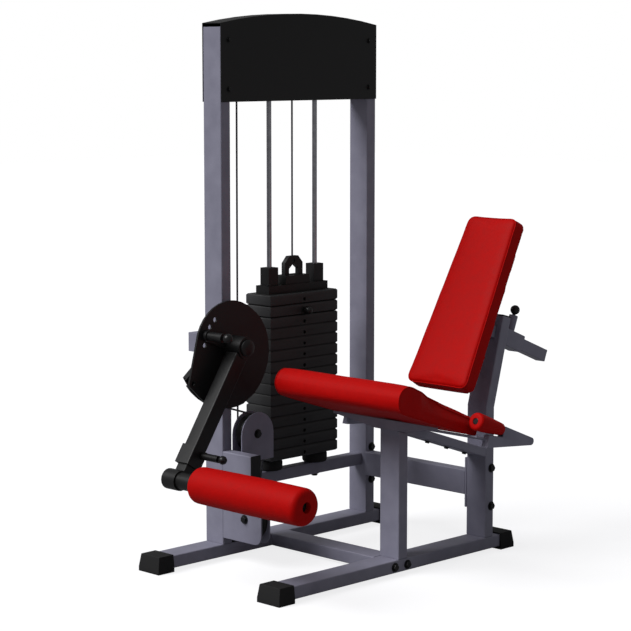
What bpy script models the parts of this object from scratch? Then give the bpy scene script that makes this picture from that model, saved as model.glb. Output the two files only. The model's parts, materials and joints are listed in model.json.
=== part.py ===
"""Leg extension machine with a selectorised weight stack.

Datum used while modelling: x = 0 on the tower's seat-side face, y = 0 on the front face of the
tower's front upright (the user faces -Y), z = 0 on the underside of the base rails. Everything is
parented to one empty that shifts this datum to the middle of the footprint on the floor.
"""
import math

import bmesh
import bpy
from mathutils import Vector

# Where the middle of the machine's footprint lies in the datum above, and the rubber under the rails.
CENTRE = (0.3550, 0.31116)
FOOT = 0.010
GAP = 0.0003

# Frame tube 80 x 40 x 3 mm.
TUBE_WIDE, TUBE_DEEP, WALL, CORNER = 0.080, 0.040, 0.003, 0.004
SEAT_X = (0.4484, 0.5284)
SEAT_MID = 0.4884
RAIL_TOP = 0.040
RAIL_ENDS = (-0.262, 0.772)
CAP_LENGTH = 0.065
UPRIGHT_TOP = 1.655
TOWER_DEPTH = 0.6945
TOWER_MID_X = -0.040

# Shroud panels at the tower's head.
SHROUD_LOW, SHROUD_CORNER, SHROUD_PEAK, SHEET = 1.4256, 1.667, 1.699, 0.003

# Weight stack.
STACK_MID_Y, ROD_SPACING = 0.346, 0.1025
PLATE_LONG, PLATE_WIDE, PLATE_PITCH, PLATE_COUNT = 0.304, 0.114, 0.0357, 15
STACK_LOW = 0.278
ROD_R, STEM_R, PIN_R = 0.0078, 0.011, 0.0045
ROD_BAR = (1.440, 1.480)
SUPPORT_BAR = (0.200, 0.240)

# Pivot of the leg lever, its cam and its selector disc.
PIVOT = (-0.030, 0.682)
SHAFT_R, RUN_GAP = 0.0125, 0.0006
CAM_R, CAM_CABLE_X, CAM_SWING = 0.187, 0.0365, 75.0
DISC_X = (0.0634, 0.0704)
HOLE_RING, HOLE_ANGLES = 0.106, (126, 142, 158, 174)
START_ANGLE = 158
LUG_ANGLE, LUG_RING = 213.5, 0.184

# Leg lever and its roller.
ARM_ANGLE, ARM_SIDE, ARM_X = 237.0, 0.050, (0.090, 0.140)
ARM_ENDS = (0.030, 0.405)
SLIDE_SIDE = 0.0434
ROLLER = (-0.300, 0.309)
ROLLER_X, ROLLER_R, AXLE_R = (0.2206, 0.6724), 0.055, 0.016
ROLLER_PIN = (-0.215, 0.372)

# Pulleys: centre y, centre z, radius at the cable's middle, middle x.
CABLE_R = 0.003
TOP_REAR = (0.301, 1.545, 0.045, -0.040)
TOP_FRONT = (0.149, 1.545, 0.045, -0.040)
LOWER = (0.119, 0.112, 0.040, -0.015)
UPPER = (0.109, 0.385, 0.057, 0.0235)
PULLEY_HALF, AXLE_BOLT_R = 0.011, 0.006

# Seat and backrest.
SEAT_SLOPE, BEAM_SLOPE = 18.0, 18.5
SEAT_PAD_X = (0.2295, 0.7470)
SEAT_FRONT_LOW = (0.0252, 0.5389)
BACK_FOOT, BACK_TILT, BACK_LENGTH, BACK_THICK = (0.4425, 0.553), 28.35, 0.581, 0.050
BACK_WIDTHS = (0.252, 0.206)
SLIDE_END, SLIDE_DROP = (0.9699, 0.5929), 21.8
GRIP_X = 0.7765

for stale in list(bpy.data.objects):
    bpy.data.objects.remove(stale)

machine = bpy.data.objects.new("machine", None)
machine.location = (-CENTRE[0], -CENTRE[1], FOOT)
bpy.context.scene.collection.objects.link(machine)


def finish_material(name, colour, roughness, metallic):
    material = bpy.data.materials.new(name)
    material.use_nodes = True
    shader = material.node_tree.nodes["Principled BSDF"]
    shader.inputs["Base Color"].default_value = (*colour, 1.0)
    shader.inputs["Roughness"].default_value = roughness
    shader.inputs["Metallic"].default_value = metallic
    return material


LILAC = finish_material("frame_paint", (0.30, 0.29, 0.36), 0.40, 0.2)
BLACK = finish_material("black_paint", (0.012, 0.012, 0.013), 0.45, 0.1)
RUBBER = finish_material("black_rubber", (0.010, 0.010, 0.010), 0.80, 0.0)
PLASTIC = finish_material("black_plastic", (0.010, 0.010, 0.011), 0.35, 0.0)
RED = finish_material("red_vinyl", (0.62, 0.004, 0.004), 0.45, 0.0)
CHROME = finish_material("chrome", (0.60, 0.60, 0.62), 0.18, 1.0)
CABLE = finish_material("cable_steel", (0.08, 0.08, 0.09), 0.50, 0.6)


def solid(name, points, faces, material, guide=False):
    mesh = bpy.data.meshes.new(name)
    mesh.from_pydata([tuple(p) for p in points], [], faces)
    mesh.update()
    piece = bpy.data.objects.new(name, mesh)
    piece.parent = machine
    bpy.context.scene.collection.objects.link(piece)
    if material:
        mesh.materials.append(material)
    if guide:
        piece.hide_render = True
        piece.display_type = "WIRE"
    return piece


def boolean(target, other, operation):
    step = target.modifiers.new(operation.lower(), "BOOLEAN")
    step.operation = operation
    step.solver = "EXACT"
    step.object = other


def cut(target, other):
    boolean(target, other, "DIFFERENCE")


def join(target, other):
    boolean(target, other, "UNION")


def loft(name, rings, material, guide=False):
    """Closed shape through rings of equal length, the first facing backwards along the loft."""
    count = len(rings[0])
    points = [p for ring in rings for p in ring]
    faces = [tuple(range(count))]
    for k in range(len(rings) - 1):
        for i in range(count):
            a, b = k * count + i, k * count + (i + 1) % count
            faces.append((b, a, a + count, b + count))
    last = (len(rings) - 1) * count
    faces.append(tuple(last + count - 1 - i for i in range(count)))
    piece = solid(name, points, faces, material, guide)
    face_outwards(piece)
    return piece


def face_outwards(piece):
    shape = bmesh.new()
    shape.from_mesh(piece.data)
    bmesh.ops.recalc_face_normals(shape, faces=shape.faces)
    if shape.calc_volume(signed=True) < 0:
        bmesh.ops.reverse_faces(shape, faces=shape.faces)
    shape.to_mesh(piece.data)
    shape.free()


def box(name, low, high, material, guide=False):
    (x0, y0, z0), (x1, y1, z1) = low, high
    lower = [(x0, y0, z0), (x1, y0, z0), (x1, y1, z0), (x0, y1, z0)]
    upper = [(x, y, z1) for x, y, _ in lower]
    return loft(name, [lower, upper], material, guide)


def plate(name, outline, x0, x1, material, guide=False):
    """Flat shape: an outline of (y, z) points made thick from x0 to x1."""
    return loft(name, [[(x, y, z) for y, z in outline] for x in (x0, x1)], material, guide)


def arc(centre, radius, start, end, steps):
    """Points (y, z) along an arc, in degrees from +Y towards +Z."""
    turn = [math.radians(start + (end - start) * i / steps) for i in range(steps + 1)]
    return [(centre[0] + radius * math.cos(a), centre[1] + radius * math.sin(a)) for a in turn]


def across(centre, radius, x0, x1, name, material, steps=24, guide=False):
    """Round bar along X."""
    outline = arc(centre, radius, 0, 360 - 360 / steps, steps - 1)
    return plate(name, outline, x0, x1, material, guide)


def turned(name, profile, origin, direction, material, steps=24, ring=False):
    """Profile of (along, radius) points turned about a line. A ring's profile is closed on itself."""
    way = Vector(direction).normalized()
    side = way.orthogonal().normalized()
    other = way.cross(side)
    points, rows = [], []
    for along, radius in profile:
        middle = Vector(origin) + way * along
        if radius == 0:
            rows.append([len(points)] * steps)
            points.append(middle)
            continue
        rows.append(list(range(len(points), len(points) + steps)))
        for i in range(steps):
            a = 2 * math.pi * i / steps
            points.append(middle + radius * (side * math.cos(a) + other * math.sin(a)))
    faces = []
    pairs = list(zip(rows, rows[1:] + rows[:1])) if ring else list(zip(rows, rows[1:]))
    for low, high in pairs:
        for i in range(steps):
            j = (i + 1) % steps
            corners = []
            for corner in (low[i], low[j], high[j], high[i]):
                if corner not in corners:
                    corners.append(corner)
            if len(corners) > 2:
                faces.append(tuple(corners))
    piece = solid(name, points, faces, material)
    face_outwards(piece)
    return piece


def turned_guide(name, profile, origin, direction, steps=16):
    guide = turned(name, profile, origin, direction, None, steps)
    guide.hide_render = True
    guide.display_type = "WIRE"
    return guide


def section(width, depth, corner):
    """Rounded rectangle, as (across, deep) points."""
    w, d = width / 2 - corner, depth / 2 - corner
    points = []
    for cx, cy, first in ((w, d, 0), (-w, d, 90), (-w, -d, 180), (w, -d, 270)):
        for step in range(3):
            a = math.radians(first + 45 * step)
            points.append((cx + corner * math.cos(a), cy + corner * math.sin(a)))
    return points


def tube(name, path, width, depth, material, wall=WALL, cuts=(None, None), x_mid=0.0, guide=False):
    """Rectangular tube that follows (y, z) points: width along X, depth across the path. The ends are
    square, or lie along the (y, z) directions in cuts, and stay open; wall 0 makes a solid bar."""
    rings = []
    for i, here in enumerate(path):
        before = Vector(here) - Vector(path[i - 1]) if i else None
        after = Vector(path[i + 1]) - Vector(here) if i + 1 < len(path) else None
        ways = [w.normalized() for w in (before, after) if w]
        mean = (ways[0] + ways[-1]).normalized()
        normal = Vector((-ways[0].y, ways[0].x))
        lie = Vector((-mean.y, mean.x))
        chosen = cuts[0] if i == 0 else cuts[1] if after is None else None
        if chosen:
            lie = Vector(chosen)
        lie = lie / lie.dot(normal)
        rings.append((Vector(here), lie))

    def ring(here, lie, points):
        return [(x_mid + a, *(here + lie * b)) for a, b in points]

    outer = [ring(*r, section(width, depth, CORNER)) for r in rings]
    if not wall:
        return loft(name, outer, material, guide)
    hole = section(width - 2 * wall, depth - 2 * wall, CORNER / 4)
    inner = [ring(*r, hole) for r in rings]
    return hollow(name, outer, inner, material)


def hollow(name, outer, inner, material):
    """Open-ended wall between an outer and an inner loft."""
    count = len(outer[0])
    points = [p for ring in outer + inner for p in ring]
    shift = len(outer) * count
    faces = []
    for k in range(len(outer) - 1):
        for i in range(count):
            a, b = k * count + i, k * count + (i + 1) % count
            faces.append((a, b, b + count, a + count))
            faces.append((shift + b, shift + a, shift + a + count, shift + b + count))
    for start in (0, (len(outer) - 1) * count):
        for i in range(count):
            j = (i + 1) % count
            quad = (start + i, shift + start + i, shift + start + j, start + j)
            faces.append(quad if start == 0 else quad[::-1])
    piece = solid(name, points, faces, material)
    face_outwards(piece)
    return piece


def tube_along_x(name, x0, x1, low, high, material=None, wall=WALL):
    """Rectangular tube along X between two (y, z) corners."""
    mid = ((low[0] + high[0]) / 2, (low[1] + high[1]) / 2)

    def ring(x, points):
        return [(x, mid[0] + a, mid[1] + b) for a, b in points]

    wide, tall = high[0] - low[0], high[1] - low[1]
    outer, inner = section(wide, tall, CORNER), section(wide - 2 * wall, tall - 2 * wall, CORNER / 4)
    return hollow(name, [ring(x, outer) for x in (x0, x1)], [ring(x, inner) for x in (x0, x1)],
                  material or LILAC)


# ---- Base and tower ------------------------------------------------------------------------------

def base():
    rail_z = RAIL_TOP / 2
    for side, x in (("left", TOWER_MID_X), ("right", SEAT_MID)):
        ends = [(RAIL_ENDS[0], rail_z), (RAIL_ENDS[1], rail_z)]
        tube(f"{side}_rail", ends, TUBE_WIDE, TUBE_DEEP, LILAC, x_mid=x)
        for end, y, out in (("front", RAIL_ENDS[0], -1), ("rear", RAIL_ENDS[1], 1)):
            foot_cap(f"foot_cap_{end}_{side}", x, y, out)
    tube_along_x("base_crossbar", GAP, SEAT_X[0] - GAP, (0.213, GAP), (0.291, RAIL_TOP))


def foot_cap(name, x, rail_end, out):
    """Rubber boot over a rail's end, wider at the floor than at the top."""
    tip, back = rail_end + out * 0.013, rail_end + out * (0.013 - CAP_LENGTH)
    rings = []
    for z, half, grow in ((-FOOT, 0.0470, 0.0), (0.004, 0.0470, 0.0), (0.0440, 0.0425, -0.007)):
        front = tip + out * grow
        rings.append([(x - half, front, z), (x + half, front, z), (x + half, back, z), (x - half, back, z)])
    cap = loft(name, rings, RUBBER)
    reach = (rail_end + out * GAP, back - out * 0.01)
    low, high = (x - 0.0403, min(reach), -GAP), (x + 0.0403, max(reach), 0.0403)
    cut(cap, box(name + "_pocket", low, high, None, True))


def tower():
    for name, y in (("front_upright", TUBE_DEEP / 2), ("rear_upright", TOWER_DEPTH - TUBE_DEEP / 2)):
        tube(name, [(y, RAIL_TOP + GAP), (y, UPRIGHT_TOP)], TUBE_WIDE, TUBE_DEEP, LILAC, x_mid=TOWER_MID_X)
    between = (TUBE_DEEP + GAP, TOWER_DEPTH - TUBE_DEEP - GAP)
    support = tube("stack_support_bar", [(y, sum(SUPPORT_BAR) / 2) for y in between], 0.038,
                   0.040, LILAC, x_mid=TOWER_MID_X)
    rod_bar = tube("rod_crossbar", [(y, sum(ROD_BAR) / 2) for y in between], 0.040, 0.040, LILAC,
                   x_mid=TOWER_MID_X)
    cable_way = []
    for y in (TOP_FRONT[0] - TOP_FRONT[2], STACK_MID_Y):
        way = [(1.41, 0), (1.41, 0.0075), (1.495, 0.0075), (1.495, 0)]
        cable_way.append(turned_guide(f"cable_way_{y:.3f}", way, (TOWER_MID_X, y, 0), (0, 0, 1), 12))
        cut(rod_bar, cable_way[-1])
    for name, y in (("front", STACK_MID_Y - ROD_SPACING), ("rear", STACK_MID_Y + ROD_SPACING)):
        at = (TOWER_MID_X, y, 0)
        low, high = SUPPORT_BAR[1] + GAP, ROD_BAR[0] - GAP
        rod = [(low, 0), (low, ROD_R), (high, ROD_R), (high, 0)]
        turned(f"{name}_guide_rod", rod, at, (0, 0, 1), CHROME, 16)
        z0, z1, bore = low, STACK_LOW - GAP, ROD_R + GAP
        ring = [(z0, bore), (z0, 0.038), (z0 + 0.006, 0.041), (z1 - 0.010, 0.041), (z1, 0.036), (z1, bore)]
        turned(f"{name}_bumper", ring, at, (0, 0, 1), RUBBER, 16, ring=True)
    top_pulley_bracket(cable_way)
    shroud()


def top_pulley_bracket(cable_way):
    """Channel on the rod crossbar, with an axle bolt through its cheeks for each top pulley."""
    low = ROD_BAR[1] + GAP
    x0, x1 = TOWER_MID_X - 0.020, TOWER_MID_X + 0.020
    bracket = box("top_pulley_bracket", (x0, 0.085, low), (x1, 0.365, low + 0.004), BLACK)
    for tag, x in (("a", x0), ("b", x1 - 0.004)):
        cheek = box(f"top_cheek_{tag}", (x, 0.085, low + 0.001), (x + 0.004, 0.365, 1.575), None, True)
        join(bracket, cheek)
    for tag, pulley in (("front", TOP_FRONT), ("rear", TOP_REAR)):
        axle = across(pulley[:2], AXLE_BOLT_R, x0 - 0.004, x1 + 0.004, f"top_axle_{tag}", None, 12, True)
        join(bracket, axle)
    for way in cable_way:
        cut(bracket, way)


def shroud():
    half = TOWER_DEPTH / 2
    rise = SHROUD_PEAK - SHROUD_CORNER
    radius = (half ** 2 + rise ** 2) / (2 * rise)
    centre = (half, SHROUD_PEAK - radius)
    spread = math.degrees(math.asin(half / radius))
    rim = arc(centre, radius, 90 - spread, 90 + spread, 10)
    outline = [(0.0, SHROUD_LOW), (TOWER_DEPTH, SHROUD_LOW)] + rim
    plate("shroud_right", outline, GAP, SHEET, BLACK)
    plate("shroud_left", outline, -TUBE_WIDE - SHEET, -TUBE_WIDE - GAP, BLACK)
    under = arc(centre, radius - 0.003, 90 + spread * 0.994, 90 - spread * 0.994, 10)
    over = arc(centre, radius, 90 - spread * 0.994, 90 + spread * 0.994, 10)
    plate("shroud_top", over + under, -TUBE_WIDE, 0.0, BLACK)


# ---- Weight stack --------------------------------------------------------------------------------

def plate_rings(low, count):
    """Rings of a pile of plates whose edges are rounded, low edge first."""
    rings = []
    for i in range(count):
        z = low + i * PLATE_PITCH
        top = PLATE_PITCH - 0.001
        for rise, inset in ((0.0, 0.004), (0.004, 0.0), (top - 0.004, 0.0), (top, 0.004)):
            w, d = PLATE_WIDE / 2 - inset, PLATE_LONG / 2 - inset
            rings.append([(TOWER_MID_X + a * w, STACK_MID_Y + b * d, z + rise)
                          for a, b in ((-1, -1), (1, -1), (1, 1), (-1, 1))])
    return rings


def stack():
    holes = []
    for tag, y, r in (("front", -ROD_SPACING, ROD_R + 0.0012), ("stem", 0, STEM_R + 0.0012),
                      ("rear", ROD_SPACING, ROD_R + 0.0012)):
        at = (TOWER_MID_X, STACK_MID_Y + y, 0)
        drill = [(0.25, 0), (0.25, r), (0.90, r), (0.90, 0)]
        holes.append(turned_guide(f"hole_{tag}", drill, at, (0, 0, 1), 12))
    lifted = (("top_plate", PLATE_COUNT - 1, 1), ("second_plate", PLATE_COUNT - 2, 1))
    for name, first, count in (*lifted, ("resting_plates", 0, PLATE_COUNT - 2)):
        low = STACK_LOW + first * PLATE_PITCH
        pile = loft(name, plate_rings(low, count), BLACK)
        for hole in holes:
            cut(pile, hole)
        for i in range(count):
            z = low + i * PLATE_PITCH + 0.013
            way = f"pin_way_{name}_{i}"
            cut(pile, across((STACK_MID_Y, z), PIN_R + 0.0012, TOWER_MID_X, 0.03, way, None, 8, True))
    stack_head()


def stack_head():
    """Bar, bush blocks, stem and shackle that lift with the chosen plates."""
    top = STACK_LOW + PLATE_COUNT * PLATE_PITCH
    x, y = TOWER_MID_X, STACK_MID_Y
    head = box("stack_head", (x - 0.030, y - 0.133, top), (x + 0.030, y + 0.133, top + 0.025), BLACK)
    for tag, mid in (("front", y - ROD_SPACING), ("rear", y + ROD_SPACING)):
        block = [(mid - 0.021, top + 0.020), (mid + 0.021, top + 0.020), (mid + 0.021, 0.896),
                 (mid - 0.021, 0.896)]
        join(head, plate(f"bush_{tag}", block, x - 0.0195, x + 0.0195, None, True))
    join(head, plate("shackle_base", [(y - 0.058, top + 0.020), (y + 0.058, top + 0.020), (y + 0.050, 0.866),
                                      (y - 0.050, 0.866)], x - 0.026, x + 0.026, None, True))
    yoke = [(y - 0.040, 0.860), (y + 0.040, 0.860), (y + 0.040, 0.9046), (y + 0.020, 0.927),
            (y - 0.020, 0.927), (y - 0.040, 0.9046)]
    join(head, plate("shackle", yoke, x - 0.008, x + 0.008, None, True))
    stem = [(0.300, 0), (0.300, STEM_R), (top + 0.005, STEM_R), (top + 0.005, 0)]
    join(head, turned_guide("stem", stem, (x, y, 0), (0, 0, 1), 12))
    for tag, mid in (("front", y - ROD_SPACING), ("rear", y + ROD_SPACING)):
        r = ROD_R + 0.0008
        bore = [(0.80, 0), (0.80, r), (0.95, r), (0.95, 0)]
        cut(head, turned_guide(f"bush_bore_{tag}", bore, (x, mid, 0), (0, 0, 1)))
    eye = [(y - 0.0215, 0.868), (y + 0.0215, 0.868), (y + 0.0215, 0.886)] + arc((y, 0.886), 0.0145, 30, 150, 4)
    cut(head, plate("shackle_eye", eye + [(y - 0.0215, 0.886)], x - 0.02, x + 0.02, None, True))
    cut(head, across((y, 0.911), 0.0062, x - 0.02, x + 0.02, "cable_eye", None, 12, True))
    z = STACK_LOW + (PLATE_COUNT - 2) * PLATE_PITCH + 0.013
    cut(head, across((y, z), PIN_R + 0.0006, x - 0.02, x + 0.02, "stem_hole", None, 8, True))
    shank = [(-0.006, 0), (-0.006, PIN_R), (0.058, PIN_R), (0.058, 0.010), (0.066, 0.013), (0.078, 0.013),
             (0.086, 0.009), (0.088, 0)]
    turned("selector_pin", shank, (x, y, z), (1, 0, 0), PLASTIC, 12)


# ---- Cables and pulleys --------------------------------------------------------------------------

def pulley(name, spec):
    y, z, r, x = spec
    half, rim, floor, bore = PULLEY_HALF, r + 0.006, r - CABLE_R - 0.0008, AXLE_BOLT_R + RUN_GAP
    ring = [(-half, bore), (-half, rim), (-half + 0.0018, rim), (-0.0040, floor), (0.0040, floor),
            (half - 0.0018, rim), (half, rim), (half, bore)]
    turned(name, ring, (x, y, z), (1, 0, 0), PLASTIC, 24, ring=True)


def tangent_to_cam():
    """Angle, in degrees, of the line that leaves the upper pulley's top for the cam's underside."""
    dy, dz = PIVOT[0] - UPPER[0], PIVOT[1] - UPPER[1]
    reach = math.hypot(dy, dz)
    lean = math.acos((UPPER[2] + CAM_R) / reach)
    return math.degrees(math.atan2(dz, dy) - lean)


def cable(name, points):
    curve = bpy.data.curves.new(name, "CURVE")
    curve.dimensions = "3D"
    curve.bevel_depth = CABLE_R
    curve.bevel_resolution = 2
    curve.use_fill_caps = True
    run = curve.splines.new("POLY")
    run.points.add(len(points) - 1)
    for point, place in zip(run.points, points):
        point.co = (*place, 1.0)
    piece = bpy.data.objects.new(name, curve)
    piece.parent = machine
    curve.materials.append(CABLE)
    bpy.context.scene.collection.objects.link(piece)


def cables():
    for name, spec in (("top_rear_pulley", TOP_REAR), ("top_front_pulley", TOP_FRONT),
                       ("lower_pulley", LOWER), ("upper_pulley", UPPER)):
        pulley(name, spec)
    run = []
    for spec, start, end, steps in ((TOP_REAR, 0, 90, 6), (TOP_FRONT, 90, 180, 6), (LOWER, 180, 360, 12),
                                    (UPPER, 0, tangent_to_cam(), 6)):
        run += [(spec[3], y, z) for y, z in arc(spec[:2], spec[2], start, end, steps)]
    touch = math.radians(tangent_to_cam() - 180)
    beside = CAM_CABLE_X + 2 * CABLE_R + 2 * GAP
    last = Vector((beside, PIVOT[0] + CAM_R * math.cos(touch), PIVOT[1] + CAM_R * math.sin(touch)))
    clear = Vector(run[-1]).lerp(last, 0.65)
    run += [(beside, clear.y, clear.z), tuple(last)]
    cable("main_cable", run)
    around = arc(PIVOT, CAM_R, math.degrees(touch) + CAM_SWING, LUG_ANGLE - 360 + 3, 14)
    cable("cam_cable", [(CAM_CABLE_X, y, z) for y, z in around])
    cable("lift_cable", [(TOWER_MID_X, STACK_MID_Y, z) for z in (0.9273, 1.2, TOP_REAR[1] - 3 * GAP)])
    pulley_brackets()


def pulley_brackets():
    y, z = UPPER[:2]
    back, front = TUBE_DEEP + GAP, 0.178
    half = (front - back) / 2
    middle = (back + half, z)
    outline = [(back, 0.300), (front, 0.300)] + arc(middle, half, 0, 180, 12)
    upper = plate("upper_pulley_bracket", outline, 0.0415, 0.0455, LILAC)
    join(upper, plate("upper_far_cheek", outline, 0.0007, 0.0047, None, True))
    join(upper, box("upper_web", (0.002, back, 0.300), (0.044, back + 0.004, 0.320), None, True))
    join(upper, across((y, z), AXLE_BOLT_R, 0.002, 0.044, "upper_axle", None, 12, True))
    y, z = LOWER[:2]
    low, top = RAIL_TOP + GAP, 0.170
    outline = [(back, low), (0.172, low)] + arc((0.142, top - 0.030), 0.030, 0, 90, 4) + [(back, top)]
    lower = plate("lower_pulley_bracket", outline, -0.0030, -GAP, BLACK)
    join(lower, plate("lower_far_cheek", outline, -0.0300, -0.0270, None, True))
    join(lower, box("lower_web", (-0.029, back, low), (-0.001, 0.172, low + 0.004), None, True))
    join(lower, across((y, z), AXLE_BOLT_R, -0.029, -0.001, "lower_axle", None, 12, True))
    tube_along_x("upper_stub", GAP, 0.127, (0.0, 0.258), (TUBE_DEEP, 0.338))
    guide_block()


def guide_block():
    """Two cheeks with rounded lower corners, held to the front upright by a plate between them."""
    right, low, top, r = 0.1727, 0.062, 0.200, 0.030
    outline = [(right, top), (GAP, top), (GAP, low)] + arc((right - r, low + r), r, 270, 360, 5)
    front = [[(x, y, z) for x, z in outline] for y in (0.0, 0.005)]
    block = loft("lower_stub", front, LILAC)
    far = [[(x, y, z) for x, z in outline] for y in (TUBE_DEEP - 0.005, TUBE_DEEP)]
    join(block, loft("far_block_cheek", far, None, True))
    join(block, box("block_back", (GAP, 0.003, low), (0.006, TUBE_DEEP - 0.003, top), None, True))


# ---- Lever, cam and selector disc ----------------------------------------------------------------

def on_ring(radius, angle):
    a = math.radians(angle)
    return (PIVOT[0] + radius * math.cos(a), PIVOT[1] + radius * math.sin(a))


def pivot():
    y, z = PIVOT
    housing = box("bearing_housing", (-0.090, 2 * y + GAP, z - 0.0297), (0.030, -GAP, z + 0.0297), LILAC)
    cut(housing, across(PIVOT, SHAFT_R + RUN_GAP, -0.10, 0.04, "housing_bore", None, 24, True))
    profile = [(-0.096, 0), (-0.096, 0.019), (-0.0905, 0.019), (-0.0905, SHAFT_R), (0.0543, SHAFT_R),
               (0.0543, 0.028), (0.0631, 0.028), (0.0631, SHAFT_R), (0.1455, SHAFT_R), (0.1455, 0.026),
               (0.151, 0.026), (0.1555, 0.018), (0.157, 0.008), (0.1573, 0)]
    turned("pivot_shaft", profile, (0, y, z), (1, 0, 0), BLACK)
    cam_outline = [on_ring(0.035, 60)] + [on_ring(0.035, 120)]
    floor = CAM_R - CABLE_R - 0.0012
    cam_outline += [on_ring(floor, a) for a in range(208, 341, 12)]
    rim = [on_ring(0.035, 60)] + [on_ring(0.035, 120)] + [on_ring(0.195, a) for a in range(208, 292, 12)]
    cam = plate("cable_cam", cam_outline, 0.0305, 0.0520, BLACK)
    join(cam, plate("cam_flange", rim, 0.0500, 0.0540, None, True))
    cut(cam, across(PIVOT, SHAFT_R + GAP, 0.02, 0.06, "cam_bore", None, 24, True))
    selector_disc()


def selector_disc():
    """Plate with the start-position holes, a lug for the cable's end, and a full lower edge."""
    edge = [on_ring(0.140, a) for a in range(60, 175, 10)]
    edge += arc(on_ring(LUG_RING, LUG_ANGLE), 0.016, 175, 240, 4)
    edge += [on_ring(0.195, a) for a in range(222, 291, 8)]
    edge += [on_ring(0.195 - 0.055 * step / 10, 290 + 12 * step) for step in range(1, 10)]
    edge += [on_ring(0.141, 50)]
    disc = plate("selector_disc", edge, *DISC_X, BLACK)
    cut(disc, across(PIVOT, SHAFT_R + GAP, 0.05, 0.08, "disc_bore", None, 24, True))
    for a in HOLE_ANGLES:
        cut(disc, across(on_ring(HOLE_RING, a), 0.0080, 0.05, 0.08, f"start_hole_{a}", None, 12, True))
    cut(disc, across(on_ring(LUG_RING, LUG_ANGLE), 0.0075, 0.05, 0.08, "lug_hole", None, 12, True))


def along_arm(distance, offset=0.0):
    """Point (y, z) down the lever, offset towards its rear."""
    a = math.radians(ARM_ANGLE)
    return (PIVOT[0] + distance * math.cos(a) - offset * math.sin(a),
            PIVOT[1] + distance * math.sin(a) + offset * math.cos(a))


def lever():
    x_mid = sum(ARM_X) / 2
    arm = tube("lever_arm", [along_arm(s) for s in ARM_ENDS], ARM_SIDE, ARM_SIDE, BLACK, x_mid=x_mid)
    join(arm, across(PIVOT, 0.034, DISC_X[1] + 0.0008, 0.1448, "arm_hub", None, 24, True))
    reach = on_ring(HOLE_RING, START_ANGLE)
    join(arm, tube("start_plate", [PIVOT, reach], 0.012, 0.036, None, wall=0, x_mid=0.0784, guide=True))
    join(arm, across(reach, 0.018, DISC_X[1] + 0.0008, 0.0844, "start_eye", None, 16, True))
    join(arm, across(reach, 0.014, 0.080, 0.146, "start_barrel", None, 16, True))
    cut(arm, across(PIVOT, SHAFT_R + RUN_GAP, 0.05, 0.16, "hub_bore", None, 24, True))
    cut(arm, across(reach, 0.0066, 0.05, 0.16, "start_bore", None, 16, True))
    collar = [along_arm(s) for s in (0.345, ARM_ENDS[1])]
    sleeve = tube("arm_collar", collar, ARM_SIDE + 0.010, ARM_SIDE + 0.010, BLACK, wall=0.0065, x_mid=x_mid)
    sleeve.hide_render = True
    sleeve.display_type = "WIRE"
    join(arm, sleeve)
    join(arm, across(ROLLER_PIN, 0.011, 0.1425, 0.216, "roller_barrel", None, 16, True))
    cut(arm, across(ROLLER_PIN, 0.0056, 0.125, 0.23, "roller_pin_way", None, 12, True))
    ball_pin("start_pin", reach, DISC_X[1] + 0.0008, 0.152, 0.0060, 0.016)
    ball_pin("roller_pin", ROLLER_PIN, 0.1373, 0.222, 0.0050, 0.0135)
    roller(x_mid)


def ball_pin(name, place, tip, neck, radius, ball):
    """Spring plunger along X with a ball to pull."""
    middle = neck + ball * 0.85
    profile = [(tip, 0), (tip, radius), (neck - 0.005, radius)]
    for step in range(1, 9):
        a = math.radians(180 - 22.5 * step)
        profile.append((middle + ball * math.cos(a), ball * math.sin(a) if step < 8 else 0))
    turned(name, profile, (0, *place), (1, 0, 0), PLASTIC, 16)


def roller(x_mid):
    """Inner tube of the lever with the roller's axle, and the foam roller on it."""
    path = [along_arm(s) for s in (0.200, 0.462)]
    carriage = tube("roller_carriage", path, SLIDE_SIDE, SLIDE_SIDE, BLACK, x_mid=x_mid)
    join(carriage, across(ROLLER, 0.031, 0.0870, 0.1430, "roller_boss", None, 20, True))
    join(carriage, across(ROLLER, AXLE_R, 0.100, 0.655, "roller_axle", None, 20, True))
    join(carriage, across(ROLLER, 0.026, 0.142, 0.2165, "roller_sleeve", None, 20, True))
    bore = ROLLER_PIN
    step = math.radians(ARM_ANGLE)
    for k in range(3):
        place = (bore[0] - 0.04 * k * math.cos(step), bore[1] - 0.04 * k * math.sin(step))
        cut(carriage, across(place, 0.0056, 0.120, 0.150, f"reach_hole_{k}", None, 12, True))
    x0, x1 = ROLLER_X
    bore_r, soft = AXLE_R + RUN_GAP, 0.020
    ring = [(x0, bore_r), (x0, ROLLER_R - soft)]
    for end, first in ((x0 + soft, 180), (x1 - soft, 90)):
        for k in range(1 if first == 180 else 0, 4 if first == 180 else 3):
            a = math.radians(first - 30 * k)
            ring.append((end + soft * math.cos(a), ROLLER_R - soft + soft * math.sin(a)))
    ring += [(x1, ROLLER_R - soft), (x1, bore_r)]
    turned("roller_pad", ring, (0, *ROLLER), (1, 0, 0), RED, 24, ring=True)


# ---- Seat ----------------------------------------------------------------------------------------

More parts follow.
